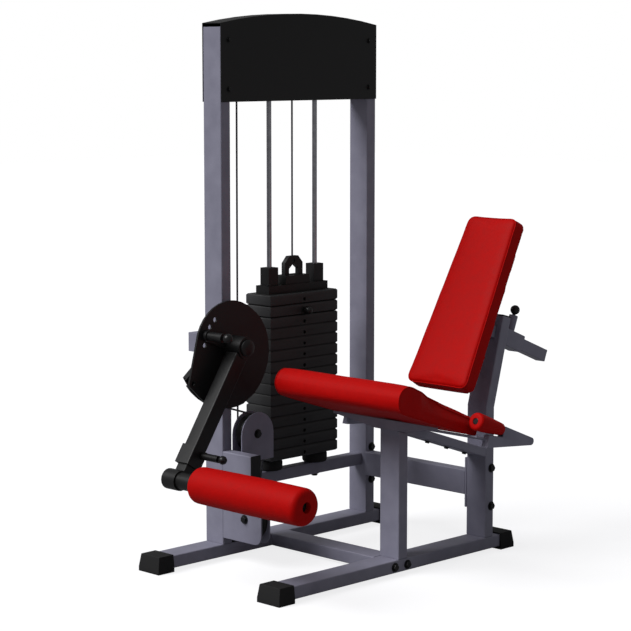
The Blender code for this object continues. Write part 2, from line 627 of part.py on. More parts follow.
def seat_frame():
    slope = math.tan(math.radians(BEAM_SLOPE))
    thick, lie = 0.028, (1.0, -slope)
    rise = thick / math.cos(math.radians(BEAM_SLOPE))

    def under(y):
        return 0.4262 - slope * (y - 0.2762)

    front = 0.2606
    tube("front_seat_post", [(front, RAIL_TOP + GAP), (front, under(front) - 0.0006)], TUBE_WIDE,
         TUBE_DEEP, LILAC, cuts=((1, 0), lie), x_mid=SEAT_MID)
    rear, bend = 0.6685, 0.460
    lean = math.tan(math.radians(15.5))
    post = tube("rear_seat_post", [(rear, RAIL_TOP + GAP), (rear, bend), (rear + lean * 0.282, bend + 0.282)],
                TUBE_WIDE, TUBE_DEEP, LILAC, x_mid=SEAT_MID)
    window = tube("slide_window", [slide_point(t) for t in (0.15, 0.33)], 0.0415, 0.0415, None, wall=0,
                  x_mid=SEAT_MID, guide=True)
    cut(post, window)
    ends = [(y, under(y) + rise / 2) for y in (0.228, rear - TUBE_DEEP / 2 - GAP)]
    tube("seat_beam", ends, TUBE_WIDE, thick, LILAC, wall=WALL, cuts=(None, (0, 1)), x_mid=SEAT_MID)
    tube_along_x("seat_crossbar", GAP, 0.4400, (rear - 0.020, 0.168), (rear + 0.020, 0.248))
    box("crossbar_end_plate", (0.4403, rear - 0.020, 0.128), (SEAT_X[0] - GAP, rear + 0.020, 0.290), LILAC)
    wing = [(0.2700, 0.4665), (0.4480, 0.4420), (0.5290, 0.4420), (0.7000, 0.4665)]
    top = [(0.7000, 0.4735), (0.2700, 0.4735)]
    y0, y1 = 0.2190, 0.2230
    loft("seat_bracket", [[(x, y, z) for x, z in wing + top] for y in (y0, y1)], LILAC)


def seat_pad():
    slope = math.radians(SEAT_SLOPE)
    fall = Vector((math.cos(slope), -math.sin(slope)))
    up = Vector((math.sin(slope), math.cos(slope)))
    start = Vector(SEAT_FRONT_LOW)
    radius = 0.043
    roll = start + up * (radius + 0.0012)
    long = 0.336

    def at(along, rise):
        return tuple(start + fall * along + up * rise)

    angle = math.degrees(math.atan2(up.y, up.x))
    outline = [at(long, 0.001), at(long, 0.054), at(0.27, 0.062), at(0.12, 0.079)]
    outline += arc(roll, radius, angle, angle + 180, 8)
    plate("seat_pad", outline, *SEAT_PAD_X, RED)


def handles():
    """Red grip and the tapered bar under it, on each side of the seat, on a flat strap under the pad."""
    lie = math.radians(18.6)
    way = Vector((0, math.cos(lie), -math.sin(lie)))
    for side, x in (("right", GRIP_X), ("left", 2 * SEAT_MID - GRIP_X)):
        start = Vector((x, 0.3024, 0.4928))
        ring = [(0.0, 0.0105), (0.0, 0.022), (0.006, 0.027), (0.030, 0.0285), (0.085, 0.023), (0.117, 0.0185),
                (0.126, 0.0135), (0.128, 0.0105)]
        turned(f"grip_{side}", ring, start, way, RED, 16, ring=True)
        along = Vector((math.cos(lie), -math.sin(lie)))
        up = Vector((math.sin(lie), math.cos(lie)))
        root = Vector((0.3500, 0.4280))
        tip = Vector((0.5540, 0.4000))
        mouth = Vector(start.yz)
        outline = [tuple(root - up * 0.022), tuple(tip - up * 0.0125)]
        outline += arc(tip, 0.0125, -88, 52, 6)
        outline += [tuple(mouth + along * reach + up * rise) for reach, rise in
                    ((0.136, 0.0115), (0.1290, 0.0115), (0.1290, -0.0215))]
        outline += [tuple(root + up * 0.018)]
        bar = plate(f"handle_{side}", outline, x - 0.0115, x + 0.0115, LILAC)
        peg = [(0.010, 0), (0.010, 0.0100), (0.140, 0.0100), (0.140, 0)]
        join(bar, turned_guide(f"peg_{side}", peg, start, way, 12))
        slope = math.radians(SEAT_SLOPE)
        fall, rise = Vector((math.cos(slope), -math.sin(slope))), Vector((math.sin(slope), math.cos(slope)))
        foot = Vector(SEAT_FRONT_LOW)
        strap = [tuple(foot + fall * a + rise * b) for a, b in
                 ((0.305, -0.0040), (0.362, -0.0040), (0.362, 0.0006), (0.305, 0.0006))]
        ends = (SEAT_X[1] + GAP, x - 0.002) if side == "right" else (x + 0.002, SEAT_X[0] - GAP)
        join(bar, plate(f"strap_{side}", strap, *ends, None, True))


# ---- Backrest ------------------------------------------------------------------------------------

def slide_way():
    drop = math.radians(SLIDE_DROP)
    return Vector((-math.cos(drop), math.sin(drop)))


def slide_point(t):
    return tuple(Vector(SLIDE_END) + slide_way() * t)


def back_frame():
    tilt = math.radians(BACK_TILT)
    return Vector((0, math.sin(tilt), math.cos(tilt))), Vector((0, math.cos(tilt), -math.sin(tilt)))


def backrest():
    up, back = back_frame()
    foot = Vector((SEAT_MID, *BACK_FOOT))

    def outline(depth, inset):
        half_low, half_high = BACK_WIDTHS[0] / 2 - inset, BACK_WIDTHS[1] / 2 - inset
        r = 0.024
        points = []
        corners = ((half_high - r, BACK_LENGTH - r - inset, 0), (-half_high + r, BACK_LENGTH - r - inset, 90),
                   (-half_low + r, r + inset, 180), (half_low - r, r + inset, 270))
        for cx, cz, first in corners:
            for k in range(4):
                a = math.radians(first + 30 * k)
                side = Vector((1, 0, 0)) * (cx + r * math.cos(a))
                points.append(foot + side + up * (cz + r * math.sin(a)) + back * depth)
        return points

    loft("backrest_pad", [outline(0.0, 0.006), outline(0.006, 0.0), outline(BACK_THICK, 0.0)], RED)
    rear = BACK_THICK + GAP
    corners = ((-0.075, 0.13), (0.075, 0.13), (0.075, 0.35), (-0.075, 0.35))
    low = [foot + Vector((s, 0, 0)) + up * h + back * rear for s, h in corners]
    carrier = loft("backrest_slide", [low, [p + back * 0.006 for p in low]], BLACK)
    join(carrier, tube("slide_bar", [slide_point(t) for t in (0.0, 0.3905)], 0.040, 0.040, None, wall=0,
                       x_mid=SEAT_MID, guide=True))
    carrier.data.materials[0] = LILAC
    drop = math.radians(SLIDE_DROP)
    normal = Vector((math.sin(drop), math.cos(drop)))
    for k in range(-2, 4):
        place = Vector(slide_point(0.1854 - 0.03 * k))
        hole = turned_guide(f"depth_hole_{k}", [(0.0, 0), (0.0, 0.0062), (0.03, 0.0062), (0.03, 0)],
                            (SEAT_MID, *place), (0, *normal), 12)
        cut(carrier, hole)
    sleeve = tube("backrest_sleeve", [slide_point(t) for t in (0.1348, 0.2290)], 0.055, 0.055, LILAC,
                  wall=0.0068, x_mid=SEAT_MID, cuts=(None, (0.277, 1.0)))
    seat = Vector(slide_point(0.1854))
    barrel = turned_guide("depth_barrel", [(0.024, 0), (0.024, 0.0145), (0.080, 0.0145), (0.080, 0)],
                          (SEAT_MID, *seat), (0, *normal))
    join(sleeve, barrel)
    cut(sleeve, turned_guide("depth_bore", [(0.015, 0), (0.015, 0.0066), (0.09, 0.0066), (0.09, 0)],
                             (SEAT_MID, *seat), (0, *normal)))
    profile = [(0.0206, 0), (0.0206, 0.0055), (0.0835, 0.0055)]
    for step in range(1, 9):
        a = math.radians(180 - 22.5 * step)
        profile.append((0.0988 + 0.0155 * math.cos(a), 0.0155 * math.sin(a) if step < 8 else 0))
    turned("backrest_pin", profile, (SEAT_MID, *seat), (0, *normal), PLASTIC, 16)


base()
tower()
stack()
cables()
pivot()
lever()
seat_frame()
seat_pad()
handles()
backrest()
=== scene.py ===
import json
import math

import bmesh
import bpy
from mathutils import Matrix, Vector
from mathutils.bvhtree import BVHTree


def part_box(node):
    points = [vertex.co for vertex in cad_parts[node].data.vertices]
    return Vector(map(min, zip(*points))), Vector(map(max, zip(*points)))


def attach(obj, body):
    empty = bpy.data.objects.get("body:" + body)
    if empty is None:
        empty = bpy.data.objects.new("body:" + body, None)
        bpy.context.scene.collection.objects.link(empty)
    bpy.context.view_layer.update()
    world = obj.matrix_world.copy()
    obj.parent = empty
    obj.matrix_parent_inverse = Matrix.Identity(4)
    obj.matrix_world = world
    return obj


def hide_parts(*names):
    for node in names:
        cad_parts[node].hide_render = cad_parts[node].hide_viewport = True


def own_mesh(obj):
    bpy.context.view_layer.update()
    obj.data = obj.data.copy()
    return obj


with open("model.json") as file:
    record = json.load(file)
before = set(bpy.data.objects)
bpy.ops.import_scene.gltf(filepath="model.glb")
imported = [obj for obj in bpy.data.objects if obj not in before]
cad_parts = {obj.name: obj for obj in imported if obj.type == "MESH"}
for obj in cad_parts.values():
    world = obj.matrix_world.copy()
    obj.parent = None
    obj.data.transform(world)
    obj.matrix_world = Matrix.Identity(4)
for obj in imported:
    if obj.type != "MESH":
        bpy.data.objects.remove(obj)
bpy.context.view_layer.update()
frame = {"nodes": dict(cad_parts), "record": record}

nodes = frame["nodes"]
bodyOfNode = {n: body for body, members in frame["record"]["behaviour"]["bodies"].items() for n in members}
slotOfNode = {row["node"]: row["material_slot"] for row in frame["record"]["subparts"]}

# The tower's seat-side front corner at the underside of the rails is where places are counted from
datum = Vector((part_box("front_upright")[1][0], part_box("front_upright")[0][1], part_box("left_rail")[0][2]))


def at(x, y, z):
    return datum + Vector((x, y, z))


# camera, lights and floor

studio = {
    "cameraPlace": (4.6939, -4.3193, 1.5704),
    "azimuth": 44.768,
    "lookDown": 7.19,
    "lens": 118.0,
    "keyFrom": (-0.45, -1.0, 1.15),
    "keyStrength": 2.8,
    "keySoftness": 35.0,
    "fill": 0.22,
    "floorSeen": "#FBFBFC",
    "floorFelt": "#8C8C8E",
}


def linearColour(hexText):
    channels = [int(hexText[i:i + 2], 16) / 255 for i in (1, 3, 5)]
    return tuple(c / 12.92 if c <= 0.04045 else ((c + 0.055) / 1.055) ** 2.4 for c in channels) + (1.0,)


def addNode(tree, kind, settings=None, links=None):
    node = tree.nodes.new(kind)
    for key, value in (settings or {}).items():
        if isinstance(key, str) and hasattr(node, key):
            setattr(node, key, value)
        else:
            node.inputs[key].default_value = value
    for socket, source in (links or {}).items():
        tree.links.new(source, node.inputs[socket])
    return node


def deselectAll():
    if bpy.context.object and bpy.context.object.mode != "OBJECT":
        bpy.ops.object.mode_set(mode="OBJECT")
    bpy.ops.object.select_all(action="DESELECT")


def makeActive(piece):
    deselectAll()
    piece.select_set(True)
    bpy.context.view_layer.objects.active = piece


def setUpStudio():
    scene = bpy.context.scene
    angle, down = math.radians(studio["azimuth"]), math.radians(studio["lookDown"])
    back = Vector((math.sin(angle) * math.cos(down), -math.cos(angle) * math.cos(down), math.sin(down)))
    deselectAll()
    bpy.ops.object.camera_add(location=at(*studio["cameraPlace"]))
    camera = bpy.context.object
    camera.data.lens = studio["lens"]
    camera.rotation_euler = (-back).to_track_quat("-Z", "Y").to_euler()
    camera.data.clip_end = 60
    scene.camera = camera

    bpy.ops.object.light_add(type="SUN", location=(0, 0, 4))
    key = bpy.context.object
    key.data.energy = studio["keyStrength"]
    key.data.angle = math.radians(studio["keySoftness"])
    key.rotation_euler = Vector(studio["keyFrom"]).to_track_quat("Z", "Y").to_euler()

    world = bpy.data.worlds.new("studioWorld")
    world.use_nodes = True
    tree = world.node_tree
    tree.nodes.clear()
    seen = addNode(tree, "ShaderNodeBackground", {"Color": (1, 1, 1, 1), "Strength": 1.0})
    felt = addNode(tree, "ShaderNodeBackground", {"Color": (1, 1, 1, 1), "Strength": studio["fill"]})
    path = addNode(tree, "ShaderNodeLightPath")
    both = addNode(tree, "ShaderNodeMixShader", {}, {0: path.outputs["Is Camera Ray"], 1: felt.outputs[0],
                                                     2: seen.outputs[0]})
    addNode(tree, "ShaderNodeOutputWorld", {}, {"Surface": both.outputs[0]})
    scene.world = world
    scene.view_settings.view_transform = "Standard"

    deselectAll()
    bpy.ops.mesh.primitive_plane_add(size=40, location=(0, 0, 0))
    floor = bpy.context.object
    floor.name = "studioFloor"
    # the camera sees near white paper, but the light that it throws back up is dimmer
    material = bpy.data.materials.new("paperSweep")
    material.use_nodes = True
    tree = material.node_tree
    tree.nodes.clear()
    felt = addNode(tree, "ShaderNodeBsdfDiffuse", {"Color": linearColour(studio["floorFelt"])})
    glow = addNode(tree, "ShaderNodeEmission", {"Color": linearColour(studio["floorSeen"]), "Strength": 0.84})
    lit = addNode(tree, "ShaderNodeAddShader", {}, {0: felt.outputs[0], 1: glow.outputs[0]})
    path = addNode(tree, "ShaderNodeLightPath")
    both = addNode(tree, "ShaderNodeMixShader", {}, {0: path.outputs["Is Camera Ray"], 1: felt.outputs[0],
                                                     2: lit.outputs[0]})
    addNode(tree, "ShaderNodeOutputMaterial", {}, {"Surface": both.outputs[0]})
    floor.data.materials.append(material)
    print("studio ready")


# materials: what each real surface is, and how it was made

finishes = {
    # powder coat baked on steel tube: satin, with a faint orange peel
    "framePowderCoat": dict(
        dark="#727183", light="#838294", roughness=0.42, patchMm=60, grainMm=2.2, bump=0.10,
        edgeWearAndHighlight="#A3A2B2", edgeWearAndHighlightAmount=0.45,
    ),
    # black enamel on machined steel: deeper gloss; thin edges painted lighter grey, partly as wear and partly
    # as a painted highlight
    "blackEnamel": dict(
        dark="#0B0B0C", light="#121213", roughness=0.42, patchMm=45, grainMm=1.8, bump=0.10,
        edgeWearAndHighlight="#2C2C2E", edgeWearAndHighlightAmount=0.35,
    ),
    # the shroud is pressed sheet with the same enamel, smoother; its tones are set darker than the black
    # enamel's as painted shade
    "smoothSheetEnamelPaintedDarker": dict(
        dark="#0B0B0C", light="#101011", roughness=0.42, patchMm=120, grainMm=2.5, bump=0.05,
        edgeWearAndHighlight="#2E2E30", edgeWearAndHighlightAmount=0.3,
    ),
    # cast plates painted after fettling: a sandy skin under the paint
    "castPlate": dict(
        dark="#161617", light="#222223", roughness=0.55, patchMm=30, grainMm=3.0, bump=0.35,
        edgeWearAndHighlight="#4C4C4E", edgeWearAndHighlightAmount=0.6,
    ),
    # moulded rubber: dull, with a fine stipple from the mould
    "mouldedRubber": dict(
        dark="#0A0A0B", light="#101011", roughness=0.72, patchMm=25, grainMm=1.2, bump=0.25,
        edgeWearAndHighlight="#303031", edgeWearAndHighlightAmount=0.3,
    ),
    # turned and moulded black plastic: even satin gloss
    "mouldedPlastic": dict(
        dark="#0C0C0D", light="#131314", roughness=0.34, patchMm=20, grainMm=1.0, bump=0.06,
        edgeWearAndHighlight="#343436", edgeWearAndHighlightAmount=0.2,
    ),
    # hard chrome on ground rod: near mirror, very slightly uneven
    "hardChrome": dict(
        dark="#9A9AA0", light="#B4B4BA", roughness=0.20, patchMm=15, grainMm=0.8, bump=0.03,
        edgeWearAndHighlight="#C8C8CC", edgeWearAndHighlightAmount=0.1, metallic=1.0,
    ),
    # blackened steel bolts: dark oxide under oil, satin
    "blackBolt": dict(
        dark="#0B0B0C", light="#141415", roughness=0.36, patchMm=6, grainMm=0.8, bump=0.08,
        edgeWearAndHighlight="#303032", edgeWearAndHighlightAmount=0.3,
    ),
    # jacketed wire rope: grey, with an uneven skin; the strands are too fine to draw
    "wireRope": dict(
        dark="#3A3A3E", light="#5A5A60", roughness=0.35, patchMm=8, grainMm=1.5, bump=0.3,
        edgeWearAndHighlight="#70707A", edgeWearAndHighlightAmount=0.2, metallic=0.5,
    ),
}


def paintedMaterial(name):
    f = finishes[name]
    material = bpy.data.materials.new(name)
    material.use_nodes = True
    tree = material.node_tree
    shader = tree.nodes["Principled BSDF"]
    shader.inputs["Metallic"].default_value = f.get("metallic", 0.0)
    shader.inputs["Specular IOR Level"].default_value = f.get("shine", 0.35)
    where = addNode(tree, "ShaderNodeTexCoord").outputs["Object"]
    patch = addNode(tree, "ShaderNodeTexNoise", {"Scale": 1000 / f["patchMm"], "Detail": 4.0},
                    {"Vector": where})
    grain = addNode(tree, "ShaderNodeTexNoise", {"Scale": 1000 / f["grainMm"], "Detail": 2.0},
                    {"Vector": where})
    colour = addNode(tree, "ShaderNodeValToRGB", {}, {"Fac": patch.outputs["Fac"]})
    colour.color_ramp.elements[0].position = 0.30
    colour.color_ramp.elements[0].color = linearColour(f["dark"])
    colour.color_ramp.elements[1].position = 0.72
    colour.color_ramp.elements[1].color = linearColour(f["light"])
    # convex edges found by pointiness are lightened towards the edge colour: partly edge wear, partly a
    # painted highlight on rounded tube corners and plate corners
    edge = addNode(tree, "ShaderNodeNewGeometry")
    edgeWearAndHighlightMask = addNode(tree, "ShaderNodeMapRange",
                     {"From Min": 0.515, "From Max": 0.62, "To Max": f["edgeWearAndHighlightAmount"]},
                     {"Value": edge.outputs["Pointiness"]})
    mixed = addNode(tree, "ShaderNodeMix", {"data_type": "RGBA", 7: linearColour(f["edgeWearAndHighlight"])},
                    {0: edgeWearAndHighlightMask.outputs[0], 6: colour.outputs[0]})
    tree.links.new(mixed.outputs[2], shader.inputs["Base Color"])
    rough = addNode(tree, "ShaderNodeMapRange",
                    {"To Min": f["roughness"] - 0.06, "To Max": f["roughness"] + 0.10},
                    {"Value": patch.outputs["Fac"]})
    tree.links.new(rough.outputs[0], shader.inputs["Roughness"])
    bump = addNode(tree, "ShaderNodeBump", {"Strength": f["bump"], "Distance": 0.0006},
                   {"Height": grain.outputs["Fac"]})
    tree.links.new(bump.outputs[0], shader.inputs["Normal"])
    return material


# coated upholstery cloth: calendered vinyl whose skin is pressed with small leather cells
vinyl = {
    "red": "#C00200",
    "deep": "#AA0100",
    "cellMm": 2.6,
    "creaseMm": 22,
    "roughness": 0.58,
    "bump": 0.30,
    "shine": 0.10,
}


def vinylMaterial():
    material = bpy.data.materials.new("redVinyl")
    material.use_nodes = True
    tree = material.node_tree
    shader = tree.nodes["Principled BSDF"]
    shader.inputs["Specular IOR Level"].default_value = vinyl["shine"]
    where = addNode(tree, "ShaderNodeTexCoord").outputs["Object"]
    cells = addNode(tree, "ShaderNodeTexVoronoi",
                    {"feature": "DISTANCE_TO_EDGE", "Scale": 1000 / vinyl["cellMm"]},
                    {"Vector": where})
    cloud = addNode(tree, "ShaderNodeTexNoise", {"Scale": 1000 / vinyl["creaseMm"], "Detail": 5.0},
                    {"Vector": where})
    colour = addNode(tree, "ShaderNodeMix", {"data_type": "RGBA", 6: linearColour(vinyl["deep"]),
                                             7: linearColour(vinyl["red"])}, {0: cloud.outputs["Fac"]})
    # the grooves between the leather cells are darkened by up to a fifth: painted shade in the grain
    cellGrooveShadeFactor = addNode(tree, "ShaderNodeMapRange", {"From Max": 0.12, "To Min": 0.80, "To Max": 1.0},
                     {"Value": cells.outputs["Distance"]})
    shade = addNode(tree, "ShaderNodeMix", {"data_type": "RGBA", "blend_type": "MULTIPLY", 0: 1.0},
                    {6: colour.outputs[2], 7: cellGrooveShadeFactor.outputs[0]})
    tree.links.new(shade.outputs[2], shader.inputs["Base Color"])
    rough = addNode(tree, "ShaderNodeMapRange", {"To Min": vinyl["roughness"] - 0.05,
                                                 "To Max": vinyl["roughness"] + 0.12},
                    {"Value": cloud.outputs["Fac"]})
    tree.links.new(rough.outputs[0], shader.inputs["Roughness"])
    low = addNode(tree, "ShaderNodeBump", {"Strength": 0.25, "Distance": 0.002},
                  {"Height": cloud.outputs["Fac"]})
    fine = addNode(tree, "ShaderNodeBump", {"Strength": vinyl["bump"], "Distance": 0.0005},
                   {"Height": cells.outputs["Distance"], "Normal": low.outputs[0]})
    tree.links.new(fine.outputs[0], shader.inputs["Normal"])
    return material


materials = {name: paintedMaterial(name) for name in finishes}
materials["redVinyl"] = vinylMaterial()
finishOfSlot = {
    "frame_paint": "framePowderCoat",
    "black_paint": "blackEnamel",
    "plate_iron": "castPlate",
    "black_rubber": "mouldedRubber",
    "black_plastic": "mouldedPlastic",
    "red_vinyl": "redVinyl",
    "red_foam": "redVinyl",
    "rod_chrome": "hardChrome",
    "cable_steel": "wireRope",
}


def dress(piece, body, slot, finish=None, replaced=()):
    piece.data.materials.clear()
    piece.data.materials.append(materials[finish or finishOfSlot[slot]])
    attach(piece, body)
    if replaced:
        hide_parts(*replaced)


def applyAll(piece):
    makeActive(piece)
    for modifier in list(piece.modifiers):
        bpy.ops.object.modifier_apply(modifier=modifier.name)


def smooth(piece, degrees):
    makeActive(piece)
    bpy.ops.object.shade_smooth_by_angle(angle=math.radians(degrees))
    weights = piece.modifiers.new("weights", "WEIGHTED_NORMAL")
    weights.keep_sharp = True
    applyAll(piece)


def settle(piece):
    makeActive(piece)
    bpy.ops.object.transform_apply(location=True, rotation=True, scale=True)


def copyOfNode(node, name):
    piece = bpy.data.objects.new(name, nodes[node].data.copy())
    bpy.context.scene.collection.objects.link(piece)
    makeActive(piece)
    bpy.ops.object.mode_set(mode="EDIT")
    bpy.ops.mesh.select_all(action="SELECT")
    bpy.ops.mesh.remove_doubles(threshold=0.00003)
    bpy.ops.mesh.dissolve_limited(angle_limit=math.radians(1.0))
    bpy.ops.object.mode_set(mode="OBJECT")
    return piece


# steel, rubber and plastic nodes get their real edge radius, in metres; turned rods, pulleys, cables, pins and
# shafts are only smoothed

edgeRadius = {
    "foot_cap": 0.005, "resting_plates": 0.0012, "top_plate": 0.0012, "second_plate": 0.0012,
    "stack_head": 0.0012, "selector_disc": 0.0010, "cable_cam": 0.0010, "shroud": 0.0008,
    "bearing_housing": 0.003, "upper_pulley_bracket": 0.0008, "lever_arm": 0.0010, "roller_carriage": 0.0010,
    "handle": 0.0070, "backrest_slide": 0.002, "backrest_sleeve": 0.0015, "seat_bracket": 0.0008,
    "crossbar_end_plate": 0.0015, "bumper": 0.0015,
}
softNodes = ("seat_pad", "backrest_pad", "roller_pad", "grip_left", "grip_right", "lift_cable")
turnedNodes = ("rod", "pulley", "cable", "pin", "shaft")


def refineNodes():
    for node in sorted(nodes):
        if node in softNodes:
            continue
        piece = copyOfNode(node, node + "_fine")
        radius = next((r for word, r in edgeRadius.items() if word in node), 0.0007)
        if not any(word in node for word in turnedNodes) or "bracket" in node or node == "cable_cam":
            bevel = piece.modifiers.new("edges", "BEVEL")
            bevel.width = radius
            bevel.segments = 2
            bevel.limit_method = "ANGLE"
            bevel.angle_limit = math.radians(50)
            applyAll(piece)
        smooth(piece, 50)
        # the shroud takes the darker copy of the black enamel, whose extra darkness is painted shade
        finish = "smoothSheetEnamelPaintedDarker" if "shroud" in node else None
        dress(piece, bodyOfNode[node], slotOfNode[node], finish, (node,))
    print("frame and machined pieces refined")


# padded pieces

pads = {
    "seat_pad": dict(voxel=0.0055, shrink=0.0015, pressure=4.0, cap=0.0050, stiffness=15.0, ironing=14,
                     lean=0.024,
                     held=(0.0, -0.309, -0.951)),
    "backrest_pad": dict(voxel=0.0050, shrink=0.0015, pressure=4.0, cap=0.0050, stiffness=15.0, ironing=14,
                         lean=0.0,
                         held=(0.0, 0.880, -0.475)),
}


def flatFace(node, direction):
    shape = bmesh.new()
    shape.from_mesh(nodes[node].data)
    direction = Vector(direction).normalized()
    bmesh.ops.remove_doubles(shape, verts=shape.verts, dist=0.00003)
    bmesh.ops.dissolve_limit(shape, angle_limit=math.radians(1.0), verts=shape.verts, edges=shape.edges)
    face = max(shape.faces, key=lambda f: (round(f.normal.dot(direction), 2), f.calc_area()))
    ring = [loop.vert.co.copy() for loop in face.loops]
    shape.free()
    return ring


seatLine = {"y": 0.0252, "z": 0.5389, "slope": 18.0}  # front lower corner of the seat, and its fall


def leanSides(mesh, lean):
    # behind the front roll the upper half of each side leans inwards, as foam cut with a bevel
    low, high = min(v.co.x for v in mesh.vertices), max(v.co.x for v in mesh.vertices)
    tan = math.tan(math.radians(seatLine["slope"]))
    foot = at(0, seatLine["y"], seatLine["z"])
    for vertex in mesh.vertices:
        along = vertex.co.y - foot.y
        height = vertex.co.z - (foot.z - tan * along)
        share = min(max((height - 0.030) / 0.040, 0.0), 1.0)
        behind = min(max((along - 0.075) / 0.060, 0.0), 1.0)
        near = min(vertex.co.x - low, high - vertex.co.x)
        edge = max(0.0, 1.0 - near / 0.090)
        shift = lean * share * behind * edge
        vertex.co.x += shift if vertex.co.x < (low + high) / 2 else -shift


def swellPad(node):
    p = pads[node]
    piece = copyOfNode(node, node.replace("_pad", "_cushion"))
    remesh = piece.modifiers.new("voxels", "REMESH")
    remesh.mode = "VOXEL"
    remesh.voxel_size = p["voxel"]
    applyAll(piece)
    mesh = piece.data
    normals = [v.normal.copy() for v in mesh.vertices]
    held = Vector(p["held"]).normalized()
    group = piece.vertex_groups.new(name="board")
    for vertex, normal in zip(mesh.vertices, normals):
        vertex.co -= normal * p["shrink"]
        if normal.dot(held) > 0.9:
            group.add([vertex.index], 1.0, "REPLACE")
    if p["lean"]:
        leanSides(mesh, p["lean"])
    rest = [v.co.copy() for v in mesh.vertices]
    cloth = piece.modifiers.new("cloth", "CLOTH")
    s = cloth.settings
    s.quality = 5
    s.use_pressure = True
    s.uniform_pressure_force = p["pressure"]
    s.tension_stiffness = s.compression_stiffness = p["stiffness"]
    s.bending_stiffness = 2.0
    s.effector_weights.gravity = 0
    s.vertex_group_mass = "board"
    cloth.collision_settings.use_self_collision = False
    cloth.point_cache.frame_start, cloth.point_cache.frame_end = 1, 20
    for number in range(1, 21):
        bpy.context.scene.frame_set(number)
    pose = piece.evaluated_get(bpy.context.evaluated_depsgraph_get()).to_mesh()
    swollen = [v.co.copy() for v in pose.vertices]
    piece.modifiers.remove(cloth)
    bpy.context.scene.frame_set(1)
    moves = []
    for start, end in zip(rest, swollen):
        move = end - start
        if move.length > p["cap"]:
            move *= p["cap"] / move.length
        moves.append(move)
    for sweep in range(p["ironing"]):  # tight vinyl over foam has no small folds
        sums = [Vector(m) for m in moves]
        counts = [1] * len(moves)
        for edge in mesh.edges:
            a, b = edge.vertices
            sums[a] += moves[b]
            sums[b] += moves[a]
            counts[a] += 1
            counts[b] += 1
        moves = [total / count for total, count in zip(sums, counts)]
    for vertex, start, move in zip(mesh.vertices, rest, moves):
        vertex.co = start + move
    relax = piece.modifiers.new("relax", "SMOOTH")
    relax.factor, relax.iterations = 0.5, 2
    finer = piece.modifiers.new("finer", "SUBSURF")
    finer.levels = finer.render_levels = 1
    applyAll(piece)
    piece.vertex_groups.clear()
    makeActive(piece)
    bpy.ops.object.shade_smooth()
    dress(piece, bodyOfNode[node], slotOfNode[node], None, (node,))
    return piece


welt = {"radius": 0.0017, "sink": 0.0004, "step": 0.006, "sideInset": 0.003, "faceInset": 0.006,
        "spread": 1.02}


def seamLoop(name, ring, pad, body, slot):
    # a welt of piped vinyl laid on the pad along a closed line
    tree = BVHTree.FromObject(pad, bpy.context.evaluated_depsgraph_get())
    dense = []
    for a, b in zip(ring, ring[1:] + ring[:1]):
        steps = max(1, round((b - a).length / welt["step"]))
        dense += [a.lerp(b, k / steps) for k in range(steps)]
    laid = []
    for point in dense:
        hit, normal = tree.find_nearest(point)[:2]
        laid.append(hit + normal * (welt["radius"] - welt["sink"]))
    for sweep in range(3):
        laid = [(laid[i - 1] + laid[i] * 2 + laid[(i + 1) % len(laid)]) / 4 for i in range(len(laid))]
    curve = bpy.data.curves.new(name, "CURVE")
    curve.dimensions = "3D"
    curve.bevel_depth = welt["radius"]
    curve.bevel_resolution = 2
    spline = curve.splines.new("POLY")
    spline.points.add(len(laid) - 1)
    for target, point in zip(spline.points, laid):
        target.co = (*point, 1.0)
    spline.use_cyclic_u = True
    drawn = bpy.data.objects.new(name, curve)
    bpy.context.scene.collection.objects.link(drawn)
    makeActive(drawn)
    bpy.ops.object.convert(target="MESH")
    piece = bpy.context.object
    bpy.ops.object.shade_smooth()
    dress(piece, body, slot)
    return piece


def makeCushions():
    seat = swellPad("seat_pad")
    for side, way in (("left", -1), ("right", 1)):
        ring = [p - Vector((way * welt["sideInset"], 0, 0)) for p in flatFace("seat_pad", (way, 0, 0))]
        seamLoop(f"seat_welt_{side}", ring, seat, "frame", "red_vinyl")
    back = swellPad("backrest_pad")
    front = Vector((0, -0.880, 0.475))
    ring = [p - front * welt["faceInset"] for p in flatFace("backrest_pad", front)]
    centre = sum(ring, Vector()) / len(ring)
    ring = [centre + (p - centre) * welt["spread"] for p in ring]
    seamLoop("backrest_welt", ring, back, "backrest", "red_vinyl")
    print("cushions swollen and piped")


gripFoam = {"mouthY": 0.3024, "mouthZ": 0.4928, "slope": 18.6, "length": 0.128, "radius": 0.0275,
            "tip": 0.0190, "bore": 0.0103, "ends": 0.009, "crown": 0.0008, "rings": 10, "sides": 48}
rollerPad = {"ends": 0.018, "crown": 0.0015, "bore": 0.0166, "sides": 96, "rings": 24}


def turnedPad(name, start, end, profile, sides):
    # profile: (metres from the start, radius), closed on itself round the bore
    way = (end - start).normalized()
    turn = Vector((0, 0, 1)).rotation_difference(way).to_matrix().to_4x4()
    mesh = bpy.data.meshes.new(name)
    shape = bmesh.new()
    first = [shape.verts.new((radius, 0, along)) for along, radius in profile]
    loop = [shape.edges.new((a, b)) for a, b in zip(first, first[1:] + first[:1])]
    bmesh.ops.spin(shape, geom=first + loop, axis=(0, 0, 1), cent=(0, 0, 0), steps=sides,
                   angle=math.tau, use_merge=False)
    bmesh.ops.remove_doubles(shape, verts=shape.verts, dist=0.00001)
    bmesh.ops.recalc_face_normals(shape, faces=shape.faces)
    shape.transform(Matrix.Translation(start) @ turn)
    shape.to_mesh(mesh)
    shape.free()
    piece = bpy.data.objects.new(name, mesh)
    bpy.context.scene.collection.objects.link(piece)
    makeActive(piece)
    bpy.ops.object.shade_smooth_by_angle(angle=math.radians(40))
    return piece


